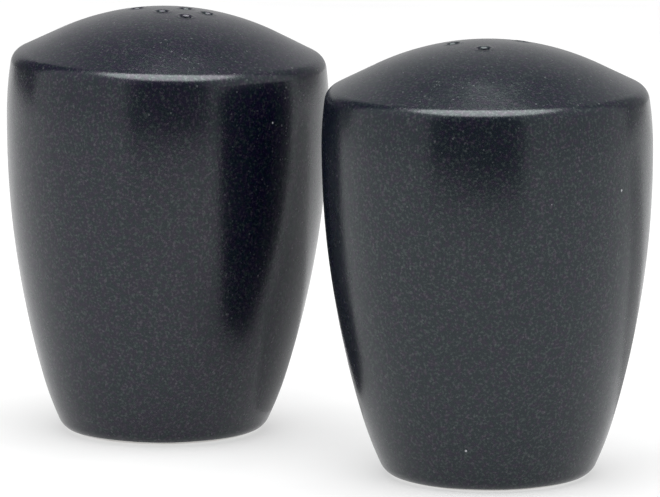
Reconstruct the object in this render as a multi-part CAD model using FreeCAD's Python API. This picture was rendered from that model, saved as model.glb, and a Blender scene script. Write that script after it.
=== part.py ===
import FreeCAD, Part
import math
import os

# A pair of free-standing glazed stoneware shakers, one for salt and one for pepper.
# Each is a one-piece hollow body with pour holes punched through its crown, filled through a
# round hole in the recessed base, which a soft hollow stopper closes.
# Millimetres. +Z is up, z = 0 is the table, and the two bodies stand on the X axis about the origin.

# Places of the two shakers
spacing = 76.4                      # between the two axes
salt_x = -spacing / 2
pepper_x = spacing / 2

# Outside of a body: tangent arcs from the flat foot outwards and up to the crown
foot_radius = 17.0                  # outer edge of the flat foot
foot_corner_radius = 3.8
foot_corner_turn = 65.4             # the wall leaves the foot at this angle above the table
flare_radius = 66.0
flare_turn = 8.1
side_radius = 181.3                 # up to the widest place, where the wall stands upright
upper_radius = 63.6
upper_turn = 8.3                    # how far the wall leans in before the shoulder
shoulder_radius = 3.1
flank_slope = 26.3                  # of the conical flank above the shoulder
flank_length = 7.7

# Wall and base
wall = 3.6
base_recess_depth = 2.6
base_thickness = 4.0
foot_ring_width = 3.2
edge_bevel = 0.8                    # of the recess and of the filler hole
inner_corner_radius = 4.0           # inside, at the floor and under the shoulder
filler_radius = 10.0

# Pour holes, punched by hand straight down through the crown: (x, y) from the body's own axis
pour_radius = 1.0
salt_holes = [(-6.1, -2.1), (1.0, -3.6), (2.1, 2.5), (6.5, -3.5), (7.0, 2.8)]
pepper_holes = [(-5.3, -3.4), (3.1, -5.6), (3.3, 6.8)]

# Stopper
stopper_base_z = 0.7                # the flange stays clear of the table, inside the foot ring
seat_gap = 0.15                     # between the flange and the base
seal_gap = 0.05                     # between the sealing ribs and the filler hole
flange_radius = 12.4
plug_radius = 9.45
plug_top_z = 11.8
plug_wall = 1.9
rib_heights = (4.0, 5.2)
rib_height = 1.0                    # along the stem, at its foot
rib_crest = 0.3                     # along the stem, where it is widest
stopper_bevel = 0.5
grip_thickness = 2.4
grip_width = 9.0
grip_base_z = 1.1

floor_z = base_recess_depth + base_thickness
recess_radius = foot_radius - foot_ring_width
beyond = 20.0                       # how far cutting shapes run past what they cut


def point(x, z):
    return FreeCAD.Vector(x, 0, z)


def go(x, z, heading, turn, size):
    """The end of one run: a straight of length size where turn is 0, otherwise an arc of radius size."""
    if turn == 0:
        return x + size * math.cos(heading), z + size * math.sin(heading), heading
    side = math.copysign(size, turn)
    new_heading = heading + math.radians(turn)
    new_x = x + side * (math.sin(new_heading) - math.sin(heading))
    new_z = z - side * (math.cos(new_heading) - math.cos(heading))
    return round(new_x, 9), round(new_z, 9), new_heading


def tangent_path(x, z, heading_degrees, runs):
    """Edges of a smooth path of runs, each (turn in degrees, size), and the point where it ends."""
    heading = math.radians(heading_degrees)
    edges = []
    for turn, size in runs:
        middle_x, middle_z, _ = go(x, z, heading, turn / 2, size)
        end_x, end_z, heading = go(x, z, heading, turn, size)
        if turn == 0:
            edges.append(Part.LineSegment(point(x, z), point(end_x, end_z)).toShape())
        else:
            arc = Part.Arc(point(x, z), point(middle_x, middle_z), point(end_x, end_z))
            edges.append(arc.toShape())
        x, z = end_x, end_z
    return edges, (x, z)


def revolved(edges, corners):
    """Solid of revolution about Z: the path, then straight lines through the corners back to its start."""
    lines = [Part.LineSegment(point(*a), point(*b)).toShape() for a, b in zip(corners, corners[1:])]
    face = Part.Face(Part.Wire(edges + lines))
    return face.revolve(FreeCAD.Vector(0, 0, 0), FreeCAD.Vector(0, 0, 1), 360)


def cylinder(radius, bottom, top, x=0.0, y=0.0):
    return Part.makeCylinder(radius, top - bottom, FreeCAD.Vector(x, y, bottom))


def wall_runs(inset):
    """The side of a body from its foot corner up to the shoulder, moved inwards by inset."""
    side_turn = 90.0 - foot_corner_turn - flare_turn
    return [
        (flare_turn, flare_radius - inset),
        (side_turn, side_radius - inset),
        (upper_turn, upper_radius - inset),
    ]


def outside_runs():
    """The whole outside from the foot to the axis. The crown's radius brings it level on the axis."""
    runs = [(foot_corner_turn, foot_corner_radius)] + wall_runs(0)
    runs += [(90.0 - upper_turn - flank_slope, shoulder_radius), (0, flank_length)]
    _, (crown_edge, _) = tangent_path(foot_radius, 0, 0, runs)
    crown_radius = crown_edge / math.sin(math.radians(flank_slope))
    return runs + [(flank_slope, crown_radius)], crown_radius


def outside():
    runs, _ = outside_runs()
    edges, (_, top_z) = tangent_path(foot_radius, 0, 0, runs)
    return revolved(edges, [(0, top_z), (0, 0), (foot_radius, 0)])


def chamber():
    """The hollow inside: within the wall, under the crown and above the floor, with rounded corners."""
    runs, crown_radius = outside_runs()
    _, (corner_x, corner_z) = tangent_path(foot_radius, 0, 0, runs[:1])
    lean = math.radians(foot_corner_turn)
    start = (corner_x - wall * math.sin(lean), corner_z + wall * math.cos(lean))
    edges, (x, z) = tangent_path(*start, foot_corner_turn, wall_runs(wall) + [(0, beyond)])
    within_wall = revolved(edges, [(x, z), (0, z), (0, start[1]), start])

    _, (_, top_z) = tangent_path(foot_radius, 0, 0, runs)
    apex = (0, top_z - wall)
    crown_runs = [(-flank_slope, crown_radius - wall), (0, flank_length + beyond)]
    edges, (x, z) = tangent_path(*apex, 0, crown_runs)
    under_crown = revolved(edges, [(x, z), (x, 0), (0, 0), apex])

    hollow = within_wall.common(under_crown)
    hollow = hollow.common(cylinder(2 * foot_radius, floor_z, top_z))
    creases = [e for e in hollow.Edges if is_crease(e, apex[1])]
    return hollow.makeFillet(inner_corner_radius, creases)


def is_crease(edge, apex_z):
    """True for the two sharp circles of the hollow: at the floor, and where the wall meets the crown."""
    box = edge.BoundBox
    level = box.ZLength < 0.001 and box.XLength > 2 * filler_radius
    at_floor = abs(box.ZMin - floor_z) < 0.001
    under_shoulder = apex_z - 3 * wall < box.ZMin and box.XLength > 3 * foot_radius - wall
    return level and (at_floor or under_shoulder)


def bevelled(shape, size, radii):
    """The shape with its level round edges of these radii bevelled."""
    edges = []
    for edge in shape.Edges:
        box = edge.BoundBox
        if box.ZLength < 0.01 and any(abs(box.XLength - 2 * radius) < 0.01 for radius in radii):
            edges.append(edge)
    return shape.makeChamfer(size, edges)


def shaker_body(holes):
    """One body standing on the origin, with its pour holes."""
    _, (_, top_z) = tangent_path(foot_radius, 0, 0, outside_runs()[0])
    body = outside().cut(chamber())
    body = body.cut(cylinder(recess_radius, -beyond, base_recess_depth))
    body = body.cut(cylinder(filler_radius, -beyond, floor_z + 1))
    body = bevelled(body, edge_bevel, (recess_radius, filler_radius))
    for x, y in holes:
        body = body.cut(cylinder(pour_radius, top_z - 3 * wall, top_z + beyond, x, y))
    return body


def stopper():
    """A soft plug: a flange, a hollow stem with two sealing ribs, and a fin to pinch inside it."""
    flange_top_z = base_recess_depth - seat_gap
    rib_radius = filler_radius - seal_gap
    stem_inner = plug_radius - plug_wall
    roof_z = plug_top_z - plug_wall
    outline = [
        (0, roof_z),
        (stem_inner, roof_z),
        (stem_inner, stopper_base_z),
        (flange_radius - stopper_bevel, stopper_base_z),
        (flange_radius, stopper_base_z + stopper_bevel),
        (flange_radius, flange_top_z - stopper_bevel),
        (flange_radius - stopper_bevel, flange_top_z),
        (plug_radius, flange_top_z),
    ]
    for z in rib_heights:
        outline += [
            (plug_radius, z - rib_height / 2),
            (rib_radius, z - rib_crest / 2),
            (rib_radius, z + rib_crest / 2),
            (plug_radius, z + rib_height / 2),
        ]
    outline += [
        (plug_radius, plug_top_z - stopper_bevel),
        (plug_radius - stopper_bevel, plug_top_z),
        (0, plug_top_z),
        (0, roof_z),
    ]
    corner = FreeCAD.Vector(-grip_thickness / 2, -grip_width / 2, grip_base_z)
    grip = Part.makeBox(grip_thickness, grip_width, roof_z + plug_wall / 2 - grip_base_z, corner)
    return revolved([], outline).fuse(grip).removeSplitter()


def save(shape, node, x):
    shape.translate(FreeCAD.Vector(x, 0, 0))
    solid = shape.Solids[0]
    print(node, "solids", len(shape.Solids), "valid", solid.isValid(), "volume", round(solid.Volume, 1),
          "z", round(solid.BoundBox.ZMin, 3), round(solid.BoundBox.ZMax, 3))
    solid.exportStep("parts/" + node + ".step")


os.makedirs("parts", exist_ok=True)
for name, x, holes in (("salt", salt_x, salt_holes), ("pepper", pepper_x, pepper_holes)):
    save(shaker_body(holes), name + "_body", x)
    save(stopper(), name + "_stopper", x)
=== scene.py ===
import math

import bmesh
import bpy
import numpy as np
from mathutils import Matrix, Vector
from mathutils.geometry import delaunay_2d_cdt


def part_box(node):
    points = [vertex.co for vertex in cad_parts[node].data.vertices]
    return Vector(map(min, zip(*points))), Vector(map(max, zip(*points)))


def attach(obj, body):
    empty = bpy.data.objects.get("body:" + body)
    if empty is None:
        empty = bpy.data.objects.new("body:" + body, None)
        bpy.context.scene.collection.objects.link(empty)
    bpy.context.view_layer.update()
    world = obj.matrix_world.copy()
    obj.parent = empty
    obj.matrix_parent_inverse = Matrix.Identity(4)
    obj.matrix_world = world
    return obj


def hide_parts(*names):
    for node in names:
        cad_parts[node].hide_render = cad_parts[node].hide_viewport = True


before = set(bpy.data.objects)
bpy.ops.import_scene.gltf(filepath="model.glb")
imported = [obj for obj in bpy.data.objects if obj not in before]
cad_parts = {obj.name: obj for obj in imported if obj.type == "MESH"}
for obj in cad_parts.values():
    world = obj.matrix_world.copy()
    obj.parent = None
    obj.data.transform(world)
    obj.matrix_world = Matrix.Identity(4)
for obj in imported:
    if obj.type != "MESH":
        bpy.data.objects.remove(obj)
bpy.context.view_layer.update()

# ---------------------------------------------------------------- sizes, in millimetres
MM = 0.001                      # metres in a millimetre

# Outside of a body: tangent arcs from the foot outwards and up, as (turn in degrees, radius)
FOOT_RADIUS = 17.0
FOOT_CORNER = (65.4, 3.8)
FLARE = (8.1, 66.0)
SIDE = (16.5, 181.3)
UPPER = (8.3, 63.6)
SHOULDER = (55.4, 3.1)
FLANK_SLOPE = 26.3
FLANK_LENGTH = 7.7

# Wall and base
WALL = 3.6
FLOOR_Z = 6.6
RECESS_Z = 2.6
RECESS_RADIUS = 13.8
FILLER_RADIUS = 10.0
EDGE_ROUND = 0.8                # of the recess and of the filler hole
INNER_ROUND = 4.0

# Pour holes, from each body's own axis
POUR_RADIUS = 0.86              # inside the glaze that lines the drilled hole
POUR_ROUND = 0.75
POUR_LIP = 0.06                 # glaze drawn up round each hole
SALT_HOLES = [(-6.1, -2.1), (1.0, -3.6), (2.1, 2.5), (6.5, -3.5), (7.0, 2.8)]
PEPPER_HOLES = [(-5.3, -3.4), (3.1, -5.6), (3.3, 6.8)]
HOLE_REACH = 2.3                # the mesh is ringed around a hole as far out as this
CAP_RADIUS = 12.5               # the part of the crown that holds the pour holes

# Glaze and the hand-made look
GLAZE_DEPTH = 0.14              # how far the glaze stands out from the bare clay
GLAZE_EDGE = 0.03               # radians of the foot corner that its rounded edge takes
GLAZE_WAVE = 0.07               # of the glaze's edge
SALT_GLAZE_LINE = 0.70          # height of the glaze's edge above the table
PEPPER_GLAZE_LINE = 0.52
SALT_LEAN = (0.95, 1.45)        # degrees to the camera's right, of the wall and of the crown
PEPPER_LEAN = (-0.37, -0.37)
OVAL = 0.0012                   # out of round, as shares of the radius
TWIST = 0.0008
RIPPLE = 0.0006

# Stopper
PLUG_RADIUS = 9.45
PLUG_BASE_Z = 0.7
PLUG_TOP_Z = 11.8
PLUG_WALL = 1.9
FLANGE_RADIUS = 12.4
FLANGE_TOP_Z = 2.45
RIB_HEIGHTS = (4.0, 5.2)
RIB_BULGE = 0.5
SOFT_ROUND = 0.5
STEM_ROUND = 1.0                # of the stem's closed end, inside and out
MOUTH_ROUND = 0.4
FLANGE_FILLET = 0.3
GRIP_SIZE = (2.4, 9.0)
GRIP_ROUND = 0.6
GRIP_BASE_Z = 1.1

# Mesh fineness
AROUND = 288                    # steps round a body
AROUND_HOLE = 40
AROUND_PLUG = 128
GRIP_STEPS = 6                  # round each corner of the stopper's fin
RING_GAP = 0.11                 # between the rings round a pour hole
RING_FADE = 0.3                 # over which the raised glaze round it sinks
CAP_GRID = 0.5                  # between the points of the crown's middle, in rows
ROW = 0.866                     # rows of an even triangle grid are this much of CAP_GRID apart
TUBE_STEPS = 8                  # down a pour hole

GLAZED, BARE = 0, 1             # a body's materials

# Camera, from the middle of the pair at table level
VIEW_AZIMUTH = 35.21            # degrees, 0 looks along +Y
CAMERA_AWAY = 1414.5
CAMERA_ASIDE = 1.25
CAMERA_HEIGHT = 286.8
CAMERA_PITCH = 9.93             # degrees down
LENS = 409.0909
SENSOR_WIDTH = 36.0
CLIP = (0.05, 30.0)             # metres

azimuth = math.radians(VIEW_AZIMUTH)
RIGHT = Vector((math.cos(azimuth), math.sin(azimuth), 0.0))
AHEAD = Vector((-math.sin(azimuth), math.cos(azimuth), 0.0))
UP = Vector((0.0, 0.0, 1.0))

# Light: an oval softbox overhead, a white room and a lit floor
SOFTBOX_SIZE = (1010, 940)      # across and along the camera's view
SOFTBOX_PLACE = (0, -130, 1000)
SOFTBOX_POWER = 13.9
ROOM_BRIGHTNESS = 0.91
FLOOR_GLOW = 0.52
FLOOR_REACH = 6000.0

# What the glaze mirrors besides those, seen in reflections only. Places are from the middle of the
# pair: (right, ahead) on the floor, or azimuths from the camera, 90 to its right.
CAMERA_SIDE = ((-165.0, 132.0), 262.0, (14.0, 410.0), 0.19)     # across, away, heights, brightness
# Painted shade: dark sheets on the floor where the shakers shade it, seen only in the glaze's
# reflections.
FLOOR_SHADES = (                # outline, height, brightness
    ("card_shade",
     [(-6, 14), (46, 9), (100, 30), (100, 110), (5, 100), (-12, 60)], 0.6, 0.52),
    ("card_far_shade",
     [(62, 8), (200, 62), (420, 130), (420, 260), (100, 110), (100, 30)], 0.5, 0.60),
)
BACKDROPS = (                   # azimuths, distance, heights, and (height, brightness) at each end
    ("card_behind", (145, 215), 1200.0, (2, 6000), (0, 0.60), (2400, 0.20)),
    ("card_left_gap", (-147, -109), 900.0, (2, 1500), (0, 0.14), (1500, 0.14)),
    ("card_right_gap", (109, 145), 900.0, (2, 1500), (0, 0.36), (1500, 0.36)),
)


# ---------------------------------------------------------------- outlines
def arc(start, heading, turn, radius, steps):
    """Points after start along an arc. Angles in degrees, heading 0 is outwards and 90 is up."""
    x, z = start
    a = math.radians(heading)
    side = math.copysign(radius, turn)
    points = []
    for k in range(1, steps + 1):
        b = a + math.radians(turn) * k / steps
        out, down = math.sin(b) - math.sin(a), math.cos(b) - math.cos(a)
        points.append((x + side * out, z - side * down))
    return points


def straight(start, end, steps):
    """Points after start along a straight line to end."""
    a, b = np.array(start), np.array(end)
    return [tuple(a + (b - a) * k / steps) for k in range(1, steps + 1)]


def bend(start, corner, end, steps):
    """Points after start along a smooth curve that starts and ends pointing at the corner."""
    a, b, c = np.array(start), np.array(corner), np.array(end)
    ts = [k / steps for k in range(1, steps + 1)]
    return [tuple(a * (1 - t) ** 2 + b * 2 * t * (1 - t) + c * t * t) for t in ts]


def outer_wall():
    """Points of the outside from the top of the foot corner to the start of the crown."""
    points = arc((FOOT_RADIUS, 0.0), 0.0, *FOOT_CORNER, 1)
    heading = FOOT_CORNER[0]
    for (turn, radius), steps in ((FLARE, 14), (SIDE, 52), (UPPER, 14), (SHOULDER, 18)):
        points += arc(points[-1], heading, turn, radius, steps)
        heading += turn
    slope = math.radians(FLANK_SLOPE)
    x, z = points[-1]
    end = (x - FLANK_LENGTH * math.cos(slope), z + FLANK_LENGTH * math.sin(slope))
    return points + straight((x, z), end, 10)


WALL_POINTS = outer_wall()
CROWN_X, CROWN_START_Z = WALL_POINTS[-1]
CROWN_RADIUS = CROWN_X / math.sin(math.radians(FLANK_SLOPE))
CROWN_CENTRE_Z = CROWN_START_Z - CROWN_RADIUS * math.cos(math.radians(FLANK_SLOPE))


def crown_z(radius, inset=0.0):
    """Height of the crown at a distance from the axis. Its underside is the wall's depth inset."""
    return CROWN_CENTRE_Z + np.sqrt((CROWN_RADIUS - inset) ** 2 - np.square(radius))


TOP_Z = float(crown_z(0.0))


def crown_arc(start_x, inset, steps):
    """Points along the crown from start_x in to the cap."""
    xs = [start_x + (CAP_RADIUS - start_x) * k / steps for k in range(1, steps + 1)]
    return [(x, float(crown_z(x, inset))) for x in xs]


def chamber_outline():
    """Points of the inside, from the filler hole over the floor and up the wall to the cap."""
    inner = []
    for before, here, after in zip(WALL_POINTS, WALL_POINTS[1:], WALL_POINTS[2:]):
        along = np.array(after) - np.array(before)
        inner.append(np.array(here) + WALL * np.array((-along[1], along[0])) / np.hypot(*along))
    slope = math.radians(FLANK_SLOPE)
    crown_x = CROWN_X * (CROWN_RADIUS - WALL) / CROWN_RADIUS
    flank_x = crown_x + FLANK_LENGTH * 0.3
    flank_z = float(crown_z(crown_x, WALL)) - FLANK_LENGTH * 0.3 * math.tan(slope)
    side = [tuple(p) for p in inner if FLOOR_Z + INNER_ROUND < p[1] < flank_z - 2 * INNER_ROUND]
    corner = (side[0][0] - 0.3 * INNER_ROUND, FLOOR_Z)
    floor_end = (side[0][0] - 1.3 * INNER_ROUND, FLOOR_Z)
    points = straight((FILLER_RADIUS + EDGE_ROUND, FLOOR_Z), floor_end, 5)
    points += bend(floor_end, corner, side[0], 8) + side[2::3]
    top = (side[-1][0] + 0.1, flank_z - (side[-1][0] + 0.1 - flank_x) * math.tan(slope))
    points += bend(points[-1], top, (flank_x, flank_z), 10)
    points += straight((flank_x, flank_z), (crown_x, float(crown_z(crown_x, WALL))), 2)
    return points + crown_arc(crown_x, WALL, 6)


def base_outline():
    """Points from the foot's flat ring over the recessed base and up through the filler hole."""
    ring_x, panel_z, hole_x = RECESS_RADIUS, RECESS_Z, FILLER_RADIUS
    points = straight((FOOT_RADIUS - GLAZE_DEPTH, 0.0), (ring_x + EDGE_ROUND, 0.0), 3)
    points += arc(points[-1], 180, -90, EDGE_ROUND, 5)
    clay_bands = len(points) - 1
    points += straight(points[-1], (ring_x, panel_z - EDGE_ROUND), 2)
    points += arc(points[-1], 90, 90, EDGE_ROUND, 5)
    points += straight(points[-1], (hole_x + EDGE_ROUND, panel_z), 3)
    points += arc(points[-1], 180, -90, EDGE_ROUND, 6)
    points += straight(points[-1], (hole_x, FLOOR_Z - EDGE_ROUND), 3)
    points += arc(points[-1], 90, -90, EDGE_ROUND, 5)
    return points, clay_bands


# ---------------------------------------------------------------- meshes
def ripple(angles, count, random):
    """A smooth closed wave round a body, about 1 high, from a few harmonics."""
    wave = np.zeros_like(angles)
    for k in range(1, count + 1):
        height = random.uniform(0.4, 1.0) / math.sqrt(count)
        wave += height * np.cos(k * angles + random.uniform(0, 2 * math.pi))
    return wave


def crown_cap(holes, inset, rounding):
    """The pierced middle of the crown: its points, triangles, outer loop and each hole's loop."""
    flat, lift = [], []

    def add(x, y, below=0.0):
        flat.append(Vector((x, y)))
        lift.append(below)
        return len(flat) - 1

    loops = []
    angles = [2 * math.pi * k / AROUND for k in range(AROUND)]
    edge = [add(CAP_RADIUS * math.cos(a), CAP_RADIUS * math.sin(a)) for a in angles]
    rings = [(POUR_RADIUS, POUR_LIP - rounding)]
    for t in range(10, 100, 10) if rounding else ():
        a = math.radians(t)
        radius = POUR_RADIUS + rounding * (1 - math.cos(a))
        rings.append((radius, POUR_LIP - rounding * (1 - math.sin(a))))
    out = rings[-1][0]
    while out < HOLE_REACH - 0.2:
        out += RING_GAP
        past_rim = (out - POUR_RADIUS - rounding) / RING_FADE
        rings.append((out, POUR_LIP * math.exp(-(past_rim ** 2))))
    for hx, hy in holes:
        for n, (radius, below) in enumerate(rings):
            ring = []
            for k in range(AROUND_HOLE):
                a = 2 * math.pi * k / AROUND_HOLE
                x, y = hx + radius * math.cos(a), hy + radius * math.sin(a)
                ring.append(add(x, y, below if rounding else 0.0))
            if n == 0:
                loops.append(ring)
    rows = int(CAP_RADIUS / (CAP_GRID * ROW)) + 1
    for row in range(-rows, rows + 1):
        for column in range(-rows, rows + 1):
            x = (column + 0.5 * (row % 2)) * CAP_GRID
            y = row * CAP_GRID * ROW
            clear = all(math.hypot(x - hx, y - hy) > HOLE_REACH for hx, hy in holes)
            if clear and math.hypot(x, y) < CAP_RADIUS - 0.6 * CAP_GRID:
                add(x, y)
    found, _, faces, came_from, _, _ = delaunay_2d_cdt(flat, [], [], 0, 1e-7, True)
    index = [ids[0] for ids in came_from]
    triangles = []
    for face in faces:
        middle = sum((found[i] for i in face), Vector((0, 0))) / 3
        if all((middle - Vector(hole)).length > POUR_RADIUS for hole in holes):
            triangles.append([index[i] for i in face])
    points = [(p.x, p.y, float(crown_z(p.length, inset)) + below) for p, below in zip(flat, lift)]
    return points, triangles, edge, loops


def band(first, second):
    """Quads between two closed rings of the same number of points."""
    return list(zip(first, first[1:] + first[:1], second[1:] + second[:1], second))


def new_piece(name, points, faces, materials, face_materials=None):
    """A mesh object from points in millimetres, with normals outwards and smooth shading."""
    mesh = bpy.data.meshes.new(name)
    mesh.from_pydata([tuple(c * MM for c in p) for p in points], [], faces)
    for material in materials:
        mesh.materials.append(material)
    if face_materials is not None:
        mesh.polygons.foreach_set("material_index", face_materials)
    work = bmesh.new()
    work.from_mesh(mesh)
    bmesh.ops.recalc_face_normals(work, faces=work.faces)
    work.to_mesh(mesh)
    work.free()
    mesh.shade_smooth()
    piece = bpy.data.objects.new(name, mesh)
    bpy.context.scene.collection.objects.link(piece)
    return piece


def foot_corner(line):
    """Rings down the foot corner, as (angle round it, how far in, material). The glaze stops at the
    line, a height for each step round, with a rounded edge, and bare clay goes on."""
    corner_turn, corner_radius = FOOT_CORNER
    at_line = np.arccos(1 - line / corner_radius)
    top = math.radians(corner_turn)
    rings = [(top + (at_line - top) * k / 8, 0.0, GLAZED) for k in range(1, 9)]
    for k in range(1, 5):
        quarter = math.radians(90 * k / 4)
        inwards = GLAZE_DEPTH * (1 - math.cos(quarter))
        rings.append((at_line - GLAZE_EDGE * math.sin(quarter), inwards, GLAZED))
    return rings + [((at_line - GLAZE_EDGE) * (1 - k / 6), GLAZE_DEPTH, BARE) for k in range(1, 7)]


def make_body(name, centre_x, holes, glaze_line, lean, seed, glaze, clay):
    """A glazed body: revolved outside, foot, base and chamber, with the pierced crown joined on."""
    random = np.random.default_rng(seed)
    angles = np.arange(AROUND) * 2 * math.pi / AROUND
    points, faces, kinds = [], [], []

    def add_faces(new, kind):
        faces.extend(new)
        kinds.extend([kind] * len(new))

    def grow(ring, radius, z, kind):
        """Adds the next ring of the revolved surface, joined to the last one, and returns it."""
        start = len(points)
        radius, z = np.broadcast_to(radius, AROUND), np.broadcast_to(z, AROUND)
        points.extend(zip(radius * np.cos(angles), radius * np.sin(angles), z))
        new = list(range(start, start + AROUND))
        add_faces(band(ring, new), kind)
        return new

    cap_points, cap_faces, ring, tops = crown_cap(holes, 0.0, POUR_ROUND)
    points.extend(cap_points)
    add_faces(cap_faces, GLAZED)
    for radius, z in reversed(WALL_POINTS + crown_arc(CROWN_X, 0.0, 12)[:-1]):
        ring = grow(ring, radius, z, GLAZED)
    corner_radius = FOOT_CORNER[1]
    for a, inwards, kind in foot_corner(glaze_line + GLAZE_WAVE * ripple(angles, 9, random)):
        radius = FOOT_RADIUS + corner_radius * np.sin(a) - inwards
        ring = grow(ring, radius, corner_radius * (1 - np.cos(a)), kind)
    base, clay_bands = base_outline()
    for n, (radius, z) in enumerate(base):
        ring = grow(ring, radius, z, BARE if n <= clay_bands else GLAZED)
    for radius, z in chamber_outline()[:-1]:
        ring = grow(ring, radius, z, BARE)

    under_points, under_faces, edge, bottoms = crown_cap(holes, WALL, 0.0)
    start = len(points)
    points.extend(under_points)
    add_faces([[i + start for i in face] for face in under_faces], BARE)
    add_faces(band(ring, [i + start for i in edge]), BARE)
    for upper, lower in zip(tops, bottoms):
        ring, lower = upper, [i + start for i in lower]
        for k in range(1, TUBE_STEPS):
            new = []
            for i, j in zip(upper, lower):
                a, b = np.array(points[i]), np.array(points[j])
                new.append(len(points))
                points.append(tuple(a + (b - a) * k / TUBE_STEPS))
            add_faces(band(ring, new), GLAZED)
            ring = new
        add_faces(band(ring, lower), GLAZED)

    # Hand-made: a little out of round, more so higher up, and leaning slightly.
    place = np.array(points)
    around = np.arctan2(place[:, 1], place[:, 0])
    height = place[:, 2] / TOP_Z
    swell = OVAL * height * np.cos(2 * around + random.uniform(0, 6))
    swell += TWIST * height * np.cos(3 * around + 3 * height + random.uniform(0, 6))
    wave = np.sin(5 * height * math.pi + random.uniform(0, 6))
    swell += RIPPLE * wave * height * (1 - height) * 4
    slant, tilt = (RIGHT * math.tan(math.radians(angle)) for angle in lean)
    drop = (place[:, 0] * tilt.x + place[:, 1] * tilt.y) * height
    place[:, 0] += place[:, 0] * swell + place[:, 2] * slant.x + centre_x
    place[:, 1] += place[:, 1] * swell + place[:, 2] * slant.y
    place[:, 2] -= drop
    return new_piece(name, place, faces, [glaze, clay], kinds)


def make_stopper(name, centre_x, rubber):
    """A hollow soft plug: a revolved flange and ribbed stem, with a rounded fin to pinch inside."""
    inner, base = PLUG_RADIUS - PLUG_WALL, PLUG_BASE_Z
    roof = PLUG_TOP_Z - PLUG_WALL
    outline = straight((0.0, roof), (inner - STEM_ROUND, roof), 4)
    outline += arc(outline[-1], 0, -90, STEM_ROUND, 6)
    outline += straight(outline[-1], (inner, base + MOUTH_ROUND), 6)
    outline += arc(outline[-1], -90, 90, MOUTH_ROUND, 4)
    outline += straight(outline[-1], (FLANGE_RADIUS - SOFT_ROUND, base), 6)
    outline += arc(outline[-1], 0, 90, SOFT_ROUND, 6)
    outline += straight(outline[-1], (FLANGE_RADIUS, FLANGE_TOP_Z - SOFT_ROUND), 2)
    outline += arc(outline[-1], 90, 90, SOFT_ROUND, 6)
    outline += straight(outline[-1], (PLUG_RADIUS + FLANGE_FILLET, FLANGE_TOP_Z), 3)
    outline += arc(outline[-1], 180, -90, FLANGE_FILLET, 4)
    for height in RIB_HEIGHTS:
        outline += straight(outline[-1], (PLUG_RADIUS, height - RIB_BULGE), 1)
        outline += arc((PLUG_RADIUS, height - RIB_BULGE), 0, 180, RIB_BULGE, 10)
    outline += straight(outline[-1], (PLUG_RADIUS, PLUG_TOP_Z - STEM_ROUND), 5)
    outline += arc(outline[-1], 90, 90, STEM_ROUND, 8)
    outline += straight(outline[-1], (0.0, PLUG_TOP_Z), 5)
    points, faces, ring = [(centre_x, 0.0, roof)], [], None
    for radius, z in outline[:-1]:
        new = []
        for k in range(AROUND_PLUG):
            a = 2 * math.pi * k / AROUND_PLUG
            new.append(len(points))
            points.append((centre_x + radius * math.cos(a), radius * math.sin(a), z))
        if ring is None:
            faces += [(0, new[k], new[(k + 1) % AROUND_PLUG]) for k in range(AROUND_PLUG)]
        else:
            faces += band(ring, new)
        ring = new
    points.append((centre_x, 0.0, PLUG_TOP_Z))
    faces += [(len(points) - 1, ring[(k + 1) % AROUND_PLUG], ring[k]) for k in range(AROUND_PLUG)]
    plug = new_piece(name, points, faces, [rubber])
    add_grip(plug, centre_x, roof, rubber)
    return plug


def add_grip(plug, centre_x, roof, rubber):
    """Joins the fin onto the plug: a bar with rounded edges that widens into the stem's roof."""
    half_x, half_y = GRIP_SIZE[0] / 2, GRIP_SIZE[1] / 2
    # Each level is a height, and how far the bar's sides stand out there.
    levels = [(GRIP_BASE_Z, -0.45), (GRIP_BASE_Z + 0.12, -0.2), (GRIP_BASE_Z + 0.45, 0.0)]
    levels += [(z, 0.0) for z in np.linspace(GRIP_BASE_Z + 1.2, roof - 1.2, 6)]
    levels += [(roof - 0.6, 0.1), (roof - 0.2, 0.35), (roof + 0.6, 0.5)]
    points, faces, rings = [], [], []
    for z, swell in levels:
        ring = []
        for sx, sy, start in ((1, 1, 0), (-1, 1, 90), (-1, -1, 180), (1, -1, 270)):
            for k in range(GRIP_STEPS + 1):
                a = math.radians(start + 90 * k / GRIP_STEPS)
                x = sx * (half_x - GRIP_ROUND) + (GRIP_ROUND + swell) * math.cos(a)
                y = sy * (half_y - GRIP_ROUND) + (GRIP_ROUND + swell) * math.sin(a)
                ring.append(len(points))
                points.append((centre_x + x, y, float(z)))
        if rings:
            faces += band(rings[-1], ring)
        rings.append(ring)
    faces += [tuple(reversed(rings[0])), tuple(rings[-1])]
    fin = new_piece("fin_work", points, faces, [rubber])
    join = plug.modifiers.new("fin", "BOOLEAN")
    join.operation, join.solver, join.object = "UNION", "EXACT", fin
    depsgraph = bpy.context.evaluated_depsgraph_get()
    shaped = bpy.data.meshes.new_from_object(plug.evaluated_get(depsgraph))
    plug.modifiers.remove(join)
    plug.data = shaped
    shaped.shade_smooth()
    shaped.set_sharp_from_angle(angle=math.radians(50))
    bpy.data.objects.remove(fin)


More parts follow.
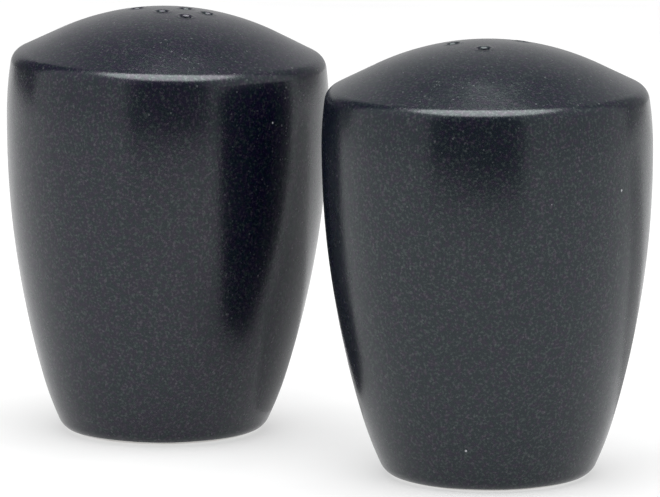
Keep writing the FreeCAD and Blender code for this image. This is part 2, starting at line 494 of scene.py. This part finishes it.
# ---------------------------------------------------------------- materials
class Shader:
    """Short calls that build one material's nodes, measured in millimetres."""

    def __init__(self, name):
        self.material = bpy.data.materials.new(name)
        self.material.use_nodes = True
        self.tree = self.material.node_tree
        self.surface = self.tree.nodes["Principled BSDF"]
        coordinates = self.tree.nodes.new("ShaderNodeTexCoord")
        scale = self.tree.nodes.new("ShaderNodeVectorMath")
        scale.operation = "SCALE"
        scale.inputs["Scale"].default_value = 1 / MM
        self.link(coordinates.outputs["Object"], scale.inputs[0])
        self.place = scale.outputs["Vector"]

    def link(self, output, socket):
        self.tree.links.new(output, socket)

    def noise(self, size, detail=2.0, roughness=0.5):
        """Noise whose features are about size millimetres across."""
        node = self.tree.nodes.new("ShaderNodeTexNoise")
        node.inputs["Scale"].default_value = 1 / size
        node.inputs["Detail"].default_value = detail
        node.inputs["Roughness"].default_value = roughness
        self.link(self.place, node.inputs["Vector"])
        return node

    def cells(self, size):
        """Cells about size millimetres across, each with a distance out and a random colour."""
        node = self.tree.nodes.new("ShaderNodeTexVoronoi")
        node.inputs["Scale"].default_value = 1 / size
        self.link(self.place, node.inputs["Vector"])
        return node

    def ramp(self, value, low, high, low_value=0.0, high_value=1.0):
        """Goes smoothly from low_value to high_value as value goes from low to high."""
        node = self.tree.nodes.new("ShaderNodeMapRange")
        node.interpolation_type = "SMOOTHSTEP"
        self.link(value, node.inputs["Value"])
        sockets = ("From Min", "From Max", "To Min", "To Max")
        for socket, number in zip(sockets, (low, high, low_value, high_value)):
            node.inputs[socket].default_value = number
        return node.outputs["Result"]

    def across(self, salt_value, pepper_value):
        """A number that differs from one shaker to the other."""
        axes = self.tree.nodes.new("ShaderNodeSeparateXYZ")
        self.link(self.place, axes.inputs[0])
        return self.ramp(axes.outputs["X"], -1.0, 1.0, salt_value, pepper_value)

    def times(self, a, b):
        """a times b, where b is a number or a socket."""
        node = self.tree.nodes.new("ShaderNodeMath")
        node.operation = "MULTIPLY"
        self.link(a, node.inputs[0])
        if isinstance(b, float):
            node.inputs[1].default_value = b
        else:
            self.link(b, node.inputs[1])
        return node.outputs["Value"]

    def plus(self, a, b):
        node = self.tree.nodes.new("ShaderNodeMath")
        node.operation = "ADD"
        self.link(a, node.inputs[0])
        self.link(b, node.inputs[1])
        return node.outputs["Value"]

    def mix(self, amount, a, b):
        """Colour a where amount is 0 and b where it is 1. Each is a colour or a socket."""
        node = self.tree.nodes.new("ShaderNodeMix")
        node.data_type = "RGBA"
        self.link(amount, node.inputs["Factor"])
        for socket, colour in ((node.inputs[6], a), (node.inputs[7], b)):
            if isinstance(colour, tuple):
                socket.default_value = (*colour, 1.0)
            else:
                self.link(colour, socket)
        return node.outputs[2]

    def bump(self, height, depth, normal=None):
        """Bump of depth millimetres, on top of another bump."""
        node = self.tree.nodes.new("ShaderNodeBump")
        node.inputs["Distance"].default_value = depth * MM
        self.link(height, node.inputs["Height"])
        if normal is not None:
            self.link(normal, node.inputs["Normal"])
        return node.outputs["Normal"]


def flecks(shader, cell_size, radius, share, seed_channel):
    """1 on round flecks, in a share of the cells, out to radius in cell sizes."""
    cells = shader.cells(cell_size)
    split = shader.tree.nodes.new("ShaderNodeSeparateColor")
    shader.link(cells.outputs["Color"], split.inputs[0])
    chosen = shader.ramp(split.outputs[seed_channel], share * 0.9, share, 1.0, 0.0)
    near = shader.ramp(cells.outputs["Distance"], radius * 0.6, radius, 1.0, 0.0)
    return shader.times(chosen, near)


def make_glaze():
    """Near-black blue-grey stoneware glaze, satin, densely mottled and finely flecked."""
    shader = Shader("charcoal_glaze")
    grain = shader.noise(0.50, 1.0, 0.6)
    tint = shader.noise(1.2, 2.0, 0.6)
    cloud = shader.noise(9.0, 2.0, 0.5)
    green = shader.ramp(shader.plus(tint.outputs["Fac"], shader.across(0.0, 0.05)), 0.42, 0.58)
    ground = shader.mix(green, (0.0026, 0.0016, 0.0105), (0.0008, 0.0030, 0.0080))
    light = shader.mix(green, (0.0170, 0.0145, 0.0230), (0.0120, 0.0180, 0.0190))
    base = shader.mix(shader.ramp(grain.outputs["Fac"], 0.47, 0.76), ground, light)
    faint = flecks(shader, 0.85, 0.26, 0.30, 1)
    pale = flecks(shader, 1.7, 0.16, 0.30, 0)
    white = flecks(shader, 7.0, 0.040, 0.30, 2)
    base = shader.mix(shader.times(faint, 0.55), base, (0.030, 0.031, 0.037))
    base = shader.mix(shader.times(pale, 0.65), base, (0.060, 0.062, 0.068))
    base = shader.mix(white, base, (0.36, 0.36, 0.38))
    shader.link(base, shader.surface.inputs["Base Color"])
    wear = shader.ramp(cloud.outputs["Fac"], 0.3, 0.7, 0.205, 0.245)
    rough = shader.plus(wear, shader.times(shader.plus(pale, faint), 0.10))
    shader.link(rough, shader.surface.inputs["Roughness"])
    gloss = shader.ramp(grain.outputs["Fac"], 0.45, 0.74, 0.46, 0.66)
    gloss = shader.plus(gloss, shader.times(faint, 0.12))
    shader.link(gloss, shader.surface.inputs["Specular IOR Level"])
    sheen = shader.mix(green, (0.95, 0.93, 1.0), (0.86, 0.975, 0.955))
    shader.link(sheen, shader.surface.inputs["Specular Tint"])
    peel = shader.bump(shader.noise(1.6, 1.0).outputs["Fac"], 0.008)
    tooth = shader.bump(grain.outputs["Fac"], 0.010, peel)
    shader.link(tooth, shader.surface.inputs["Normal"])
    shader.surface.inputs["IOR"].default_value = 1.52
    return shader.material


def make_clay():
    """Bare fired stoneware, pale grey with fine sandy grain."""
    shader = Shader("bare_clay")
    grain = shader.noise(0.25, 3.0, 0.6)
    stain = shader.noise(4.0, 2.0)
    patches = shader.ramp(stain.outputs["Fac"], 0.35, 0.65)
    base = shader.mix(patches, (0.64, 0.63, 0.61), (0.74, 0.73, 0.71))
    base = shader.mix(shader.ramp(grain.outputs["Fac"], 0.55, 0.75), base, (0.50, 0.49, 0.475))
    shader.link(base, shader.surface.inputs["Base Color"])
    rough = shader.ramp(grain.outputs["Fac"], 0.3, 0.7, 0.80, 0.95)
    shader.link(rough, shader.surface.inputs["Roughness"])
    shader.link(shader.bump(grain.outputs["Fac"], 0.05), shader.surface.inputs["Normal"])
    return shader.material


def make_rubber():
    """Pale milky silicone rubber, softly mottled, with a fine moulded texture and dust."""
    shader = Shader("stopper_rubber")
    milk = shader.noise(3.0, 2.0)
    mould = shader.noise(0.18, 2.0)
    patches = shader.ramp(milk.outputs["Fac"], 0.35, 0.65)
    base = shader.mix(patches, (0.58, 0.57, 0.54), (0.66, 0.655, 0.63))
    base = shader.mix(flecks(shader, 1.6, 0.06, 0.3, 0), base, (0.42, 0.41, 0.39))
    shader.link(base, shader.surface.inputs["Base Color"])
    rough = shader.ramp(mould.outputs["Fac"], 0.3, 0.7, 0.42, 0.58)
    shader.link(rough, shader.surface.inputs["Roughness"])
    shader.link(shader.bump(mould.outputs["Fac"], 0.015), shader.surface.inputs["Normal"])
    shader.surface.inputs["Subsurface Weight"].default_value = 0.25
    shader.surface.inputs["Subsurface Scale"].default_value = 2 * MM
    return shader.material


def make_paper():
    """The pale floor: a white light table with a hardly visible grain, clear from below."""
    shader = Shader("pale_floor")
    facing = shader.tree.nodes.new("ShaderNodeNewGeometry")
    solid = shader.ramp(facing.outputs["Backfacing"], 0.0, 1.0, 1.0, 0.0)
    shader.link(solid, shader.surface.inputs["Alpha"])
    grain = shader.noise(40.0, 2.0)
    patches = shader.ramp(grain.outputs["Fac"], 0.3, 0.7)
    base = shader.mix(patches, (0.31, 0.31, 0.31), (0.33, 0.33, 0.33))
    shader.link(base, shader.surface.inputs["Base Color"])
    shader.surface.inputs["Emission Color"].default_value = (1.0, 1.0, 1.0, 1.0)
    shader.surface.inputs["Emission Strength"].default_value = FLOOR_GLOW
    shader.surface.inputs["Roughness"].default_value = 0.9
    shader.surface.inputs["Specular IOR Level"].default_value = 0.1
    return shader.material


# ---------------------------------------------------------------- pieces
glaze, clay, rubber = make_glaze(), make_clay(), make_rubber()
SHAKERS = (
    ("salt", SALT_HOLES, SALT_GLAZE_LINE, SALT_LEAN, 3),
    ("pepper", PEPPER_HOLES, PEPPER_GLAZE_LINE, PEPPER_LEAN, 8),
)
for name, holes, glaze_line, lean, seed in SHAKERS:
    low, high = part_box(name + "_body")
    centre_x = (low.x + high.x) / 2 / MM
    body = make_body(name + "_shaker_body", centre_x, holes, glaze_line, lean, seed, glaze, clay)
    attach(body, name + "_shaker")
    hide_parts(name + "_body")
    plug = make_stopper(name + "_shaker_stopper", centre_x, rubber)
    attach(plug, name + "_plug")
    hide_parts(name + "_stopper")


# ---------------------------------------------------------------- stage, light and camera
def place_at(right, ahead, up):
    """A point from the middle of the pair, in millimetres to the camera's right, ahead and up."""
    return (RIGHT * right + AHEAD * ahead + UP * up) * MM


def stage_plane(name, corners, material):
    """A flat sheet through the corners that isn't part of the object."""
    mesh = bpy.data.meshes.new(name)
    mesh.from_pydata(corners, [], [tuple(range(len(corners)))])
    mesh.materials.append(material)
    plane = bpy.data.objects.new(name, mesh)
    bpy.context.scene.collection.objects.link(plane)
    return plane


def make_floor():
    signs = ((-1, -1), (1, -1), (1, 1), (-1, 1))
    corners = [place_at(x * FLOOR_REACH, y * FLOOR_REACH, 0) for x, y in signs]
    stage_plane("floor", corners, make_paper())


def make_card(name, corners, low, high):
    """A card seen only in reflections. It grades from low to high, each (height, brightness)."""
    shader = Shader(name)
    height = shader.tree.nodes.new("ShaderNodeSeparateXYZ")
    shader.link(shader.place, height.inputs[0])
    glow = shader.ramp(height.outputs["Z"], low[0], high[0], low[1], high[1])
    shader.link(glow, shader.surface.inputs["Emission Strength"])
    shader.surface.inputs["Emission Color"].default_value = (1.0, 1.0, 1.0, 1.0)
    shader.surface.inputs["Base Color"].default_value = (0.0, 0.0, 0.0, 1.0)
    shader.surface.inputs["Specular IOR Level"].default_value = 0.0
    card = stage_plane(name, [place_at(*corner) for corner in corners], shader.material)
    card.visible_camera = False
    card.visible_diffuse = False
    card.visible_shadow = False
    card.visible_transmission = False


def upright(start, end, heights):
    """Corners of an upright sheet over a line on the floor."""
    bottom, top = heights
    return [(*start, bottom), (*end, bottom), (*end, top), (*start, top)]


def make_cards():
    """The dark camera side, the painted shade of the floor between the shakers and the dimmer
    places behind them.
    """
    (left, right), away, heights, glow = CAMERA_SIDE
    corners = upright((left, -away), (right, -away), heights)
    make_card("card_camera", corners, (0, glow), (heights[1], glow))
    # Painted shade: the floor's shadow between and behind the shakers, as dark sheets.
    for name, outline, height, glow in FLOOR_SHADES:
        make_card(name, [(x, y, height) for x, y in outline], (0, glow), (10, glow))
    for name, azimuths, distance, heights, low, high in BACKDROPS:
        angles = [math.radians(a) for a in azimuths]
        ends = [(distance * math.sin(a), -distance * math.cos(a)) for a in angles]
        make_card(name, upright(*ends, heights), low, high)


def make_softbox(size, place, power):
    """A level oval light, size in millimetres across and along the camera's view, facing down."""
    data = bpy.data.lights.new("overhead", "AREA")
    data.shape, data.size, data.size_y, data.energy = "ELLIPSE", size[0] * MM, size[1] * MM, power
    light = bpy.data.objects.new("overhead", data)
    turn = Matrix((RIGHT, AHEAD, UP)).transposed().to_4x4()
    light.matrix_world = Matrix.Translation(place_at(*place)) @ turn
    bpy.context.scene.collection.objects.link(light)


def make_world(strength):
    world = bpy.data.worlds.new("white_studio")
    world.use_nodes = True
    background = world.node_tree.nodes["Background"]
    background.inputs["Color"].default_value = (1.0, 1.0, 1.0, 1.0)
    background.inputs["Strength"].default_value = strength
    bpy.context.scene.world = world


def make_camera():
    data = bpy.data.cameras.new("camera")
    data.sensor_width = SENSOR_WIDTH
    data.lens = LENS
    data.clip_start, data.clip_end = CLIP
    camera = bpy.data.objects.new("camera", data)
    pitch = math.radians(CAMERA_PITCH)
    forward = AHEAD * math.cos(pitch) - UP * math.sin(pitch)
    turn = Matrix((RIGHT, RIGHT.cross(forward), -forward)).transposed().to_4x4()
    place = place_at(CAMERA_ASIDE, -CAMERA_AWAY, CAMERA_HEIGHT)
    camera.matrix_world = Matrix.Translation(place) @ turn
    bpy.context.scene.collection.objects.link(camera)
    bpy.context.scene.camera = camera


make_floor()
make_cards()
make_world(ROOM_BRIGHTNESS)
make_softbox(SOFTBOX_SIZE, SOFTBOX_PLACE, SOFTBOX_POWER)
make_camera()
bpy.context.scene.view_settings.view_transform = "Standard"
